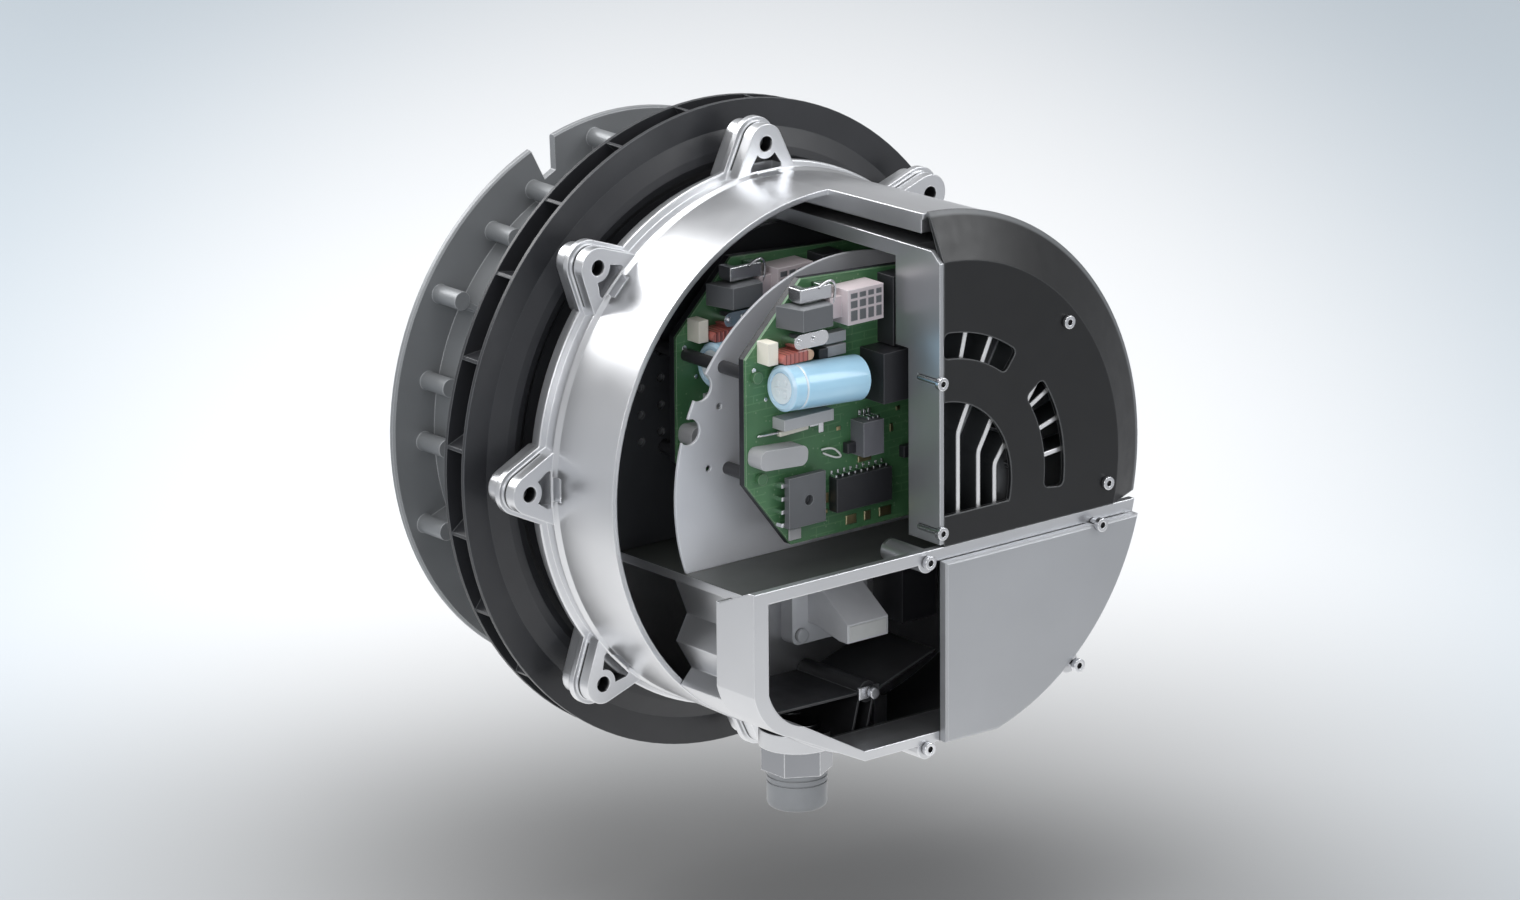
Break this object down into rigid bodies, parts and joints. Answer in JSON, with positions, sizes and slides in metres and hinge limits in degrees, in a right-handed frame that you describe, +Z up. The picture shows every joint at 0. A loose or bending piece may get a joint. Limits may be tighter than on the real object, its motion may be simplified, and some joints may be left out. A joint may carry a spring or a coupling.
{
  "type": "electronically commutated motor",
  "caption": "External-rotor electronic motor in cutaway: rotor on its shaft, cooling wheel, lugged drum housing, boards, heat sink, fan cover and terminal box.",
  "frame": {"origin": "on the shaft axis, in the plane of the front faces of the eight mounting lugs", "axes": "+X along the shaft axis towards the electronics and covers, -X towards the shaft end, +Z up with the terminal box below"},
  "size_m": [0.4163, 0.33, 0.3315],
  "materials": {
    "black_plastic": "satin moulded",
    "board_green": "solder mask",
    "capacitor_blue": "shrink sleeve",
    "cast_grey": "satin casting",
    "cast_silver": "bright casting",
    "chrome_can": "bright",
    "coil_red": "dipped",
    "component_black": "moulded",
    "component_cream": "moulded",
    "component_grey": "moulded",
    "component_pale": "moulded",
    "connector_pale": "moulded",
    "copper": "enamelled wire",
    "cover_black": "satin moulded",
    "cover_grey": "satin",
    "dark_sheet": "black coated",
    "gland_grey": "moulded",
    "gland_metal": "bright",
    "lamination": "stacked sheet",
    "magnet": "matt",
    "rubber_black": "matt",
    "screw_steel": "zinc plated",
    "sheet_grey": "satin sheet",
    "steel": "ground",
    "white_plastic": "moulded"
  },
  "bodies": {
    "stator": {"bearing_balls": "steel", "bearing_carrier": "cast_grey", "bearing_outer_rings": "steel", "board_clips": "screw_steel", "board_screws": "screw_steel", "board_spacers": "screw_steel", "carrier_screws": "screw_steel", "coils": "coil_red", "control_board": "board_green", "control_capacitor": "capacitor_blue", "control_chips": "component_black", "crystal_cans": "chrome_can", "driver_blocks": "component_grey", "earth_screw": "screw_steel", "fan_cover": "cover_black", "fan_cover_screws": "screw_steel", "film_capacitors": "component_cream", "flat_shunts": "component_pale", "floor_liner": "dark_sheet", "gland_body": "gland_metal", "gland_cap": "gland_grey", "gland_seal": "rubber_black", "heat_sink": "cast_grey", "housing": "cast_silver", "inductors": "component_grey", "partition_plate": "sheet_grey", "plug_connectors": "connector_pale", "power_board": "board_green", "power_capacitor": "capacitor_blue", "power_modules": "component_black", "relays": "component_black", "rounded_boxes": "component_pale", "signal_connector": "component_black", "stator_coils": "copper", "stator_core": "lamination", "stator_end_insulators": "white_plastic", "terminal_block": "component_grey", "terminal_block_screws": "screw_steel", "terminal_box": "cast_silver", "terminal_cover": "cover_grey", "terminal_cover_screws": "screw_steel", "terminal_cover_seal": "rubber_black", "thin_chips": "component_pale", "transistor_leads": "chrome_can", "transistor_modules": "component_grey"},
    "rotor": {"shaft": "steel", "rotor_casting": "cast_grey", "rotor_yoke": "steel", "rotor_magnets": "magnet", "cooling_wheel": "black_plastic", "cooling_wheel_front_disc": "black_plastic", "wheel_screws": "screw_steel", "bearing_inner_rings": "steel", "shaft_retaining_ring": "steel"}
  },
  "joints": [
    {"name": "rotor_spin", "type": "hinge", "parent": "stator", "child": "rotor", "pos_m": [0, 0, 0], "axis": [1, 0, 0], "continuous": true}
  ]
}
